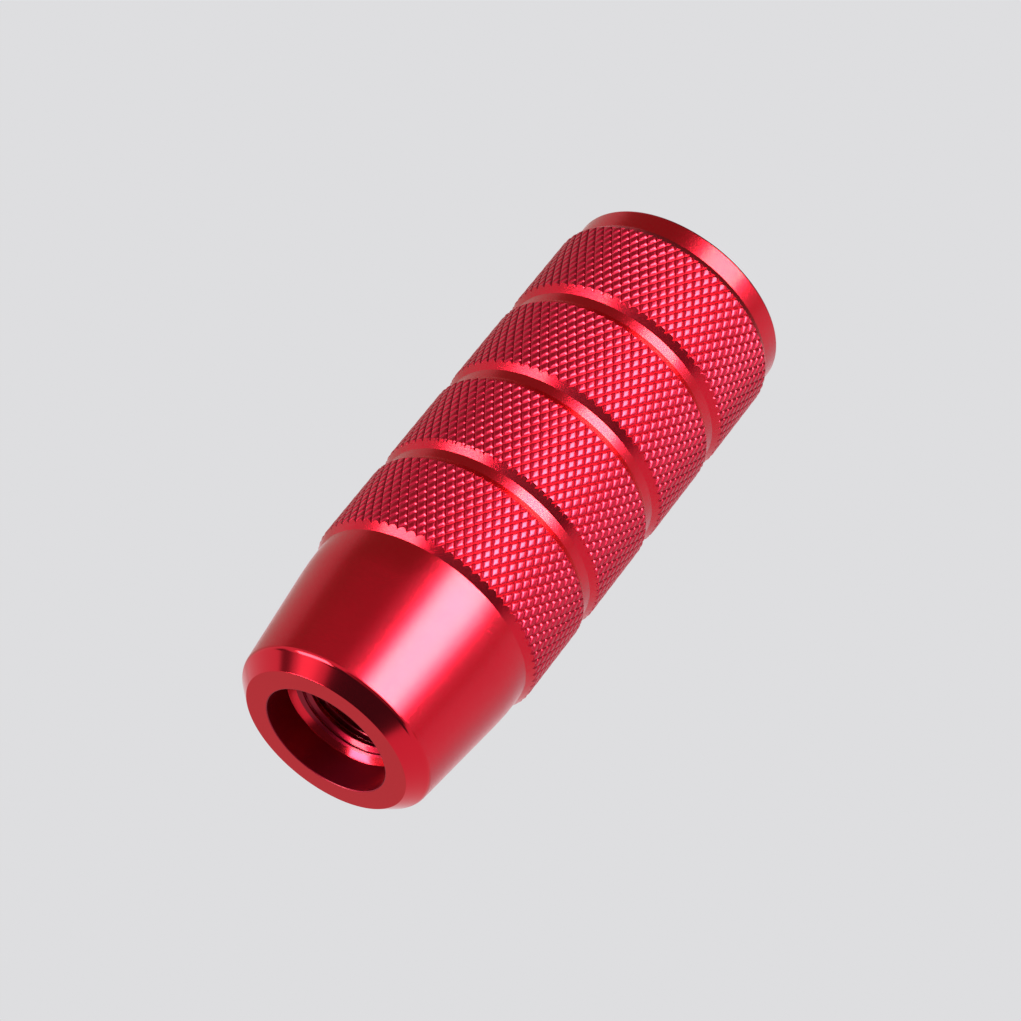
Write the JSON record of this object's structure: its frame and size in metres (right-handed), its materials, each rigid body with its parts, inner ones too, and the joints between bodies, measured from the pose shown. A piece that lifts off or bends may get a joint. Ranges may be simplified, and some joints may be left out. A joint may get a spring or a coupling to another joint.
{
  "type": "gear shift knob",
  "caption": "Cylindrical metal gear shift knob with knurled grip bands, a tapered lower end and a threaded mounting hole.",
  "frame": {"origin": "centre of the flat ring face at the threaded end, on the turning axis", "axes": "+Z along the turning axis, from the threaded end to the head; X and Y are equal"},
  "size_m": [0.035, 0.035, 0.09],
  "materials": {
    "knob": "satin red anodised"
  },
  "bodies": {
    "root": {"knob": "knob"}
  },
  "joints": []
}
